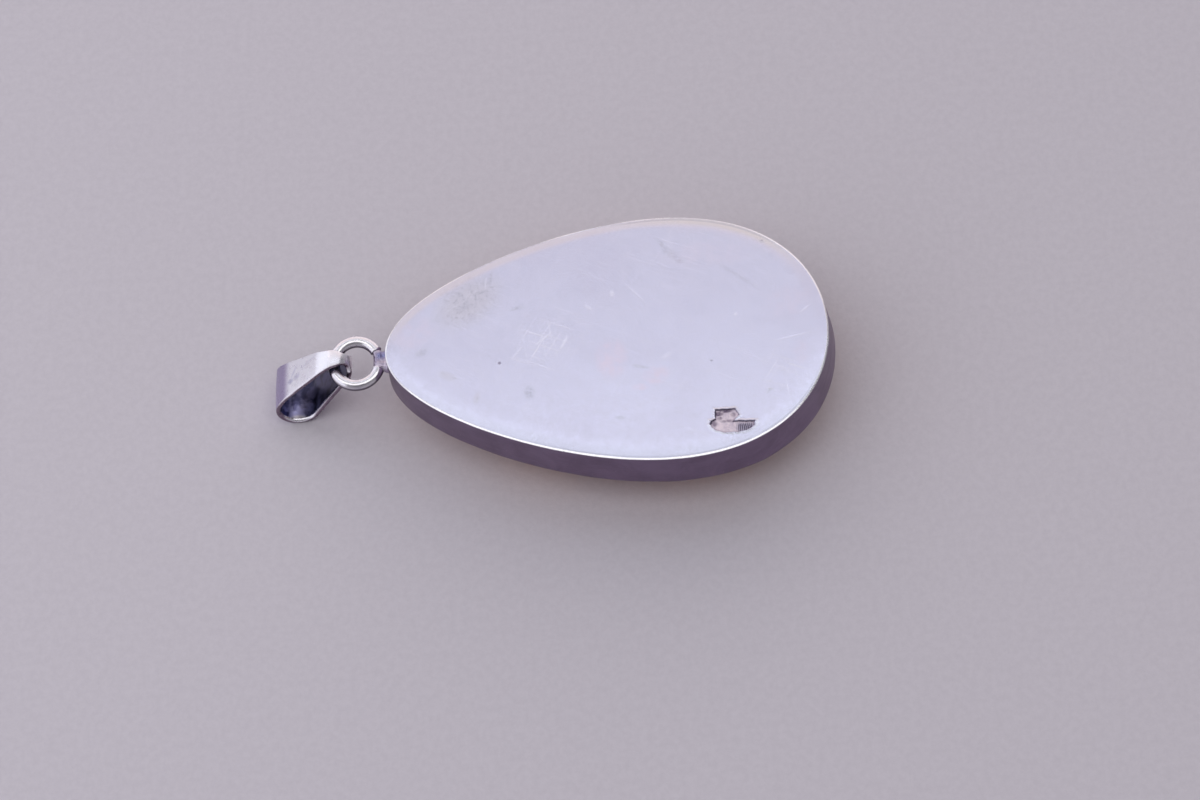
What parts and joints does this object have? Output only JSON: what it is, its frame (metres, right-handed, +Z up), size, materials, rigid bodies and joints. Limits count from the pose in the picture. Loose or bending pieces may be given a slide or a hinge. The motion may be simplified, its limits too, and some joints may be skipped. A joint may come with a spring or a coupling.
{
  "type": "amber pendant",
  "caption": "Pear-shaped amber cabochon in a closed-back silver bezel, with a soldered ring and a tapered strap bail that swings on it.",
  "frame": {"origin": "on the surface that the pendant lies on, below the middle of its whole length and width", "axes": "+X along the pendant from the bail to the round end, +Z up, out of the flat silver back; the amber dome faces -Z"},
  "size_m": [0.0476, 0.0232, 0.0084],
  "materials": {
    "silver": "polished silver, lightly scratched, with faint yellow and grey tarnish",
    "amber": "polished honey amber with clouds and flecks inside",
    "bail_silver": "polished silver, darker inside the strap"
  },
  "bodies": {
    "pendant": {"setting": "silver", "amber_cabochon": "amber"},
    "bail": {"bail": "bail_silver"}
  },
  "joints": [
    {"name": "bail_swing", "type": "hinge", "parent": "pendant", "child": "bail", "pos_m": [-0.01805, 0, 0.0066], "axis": [0, 1, 0], "range_deg": [-78, 178]}
  ]
}
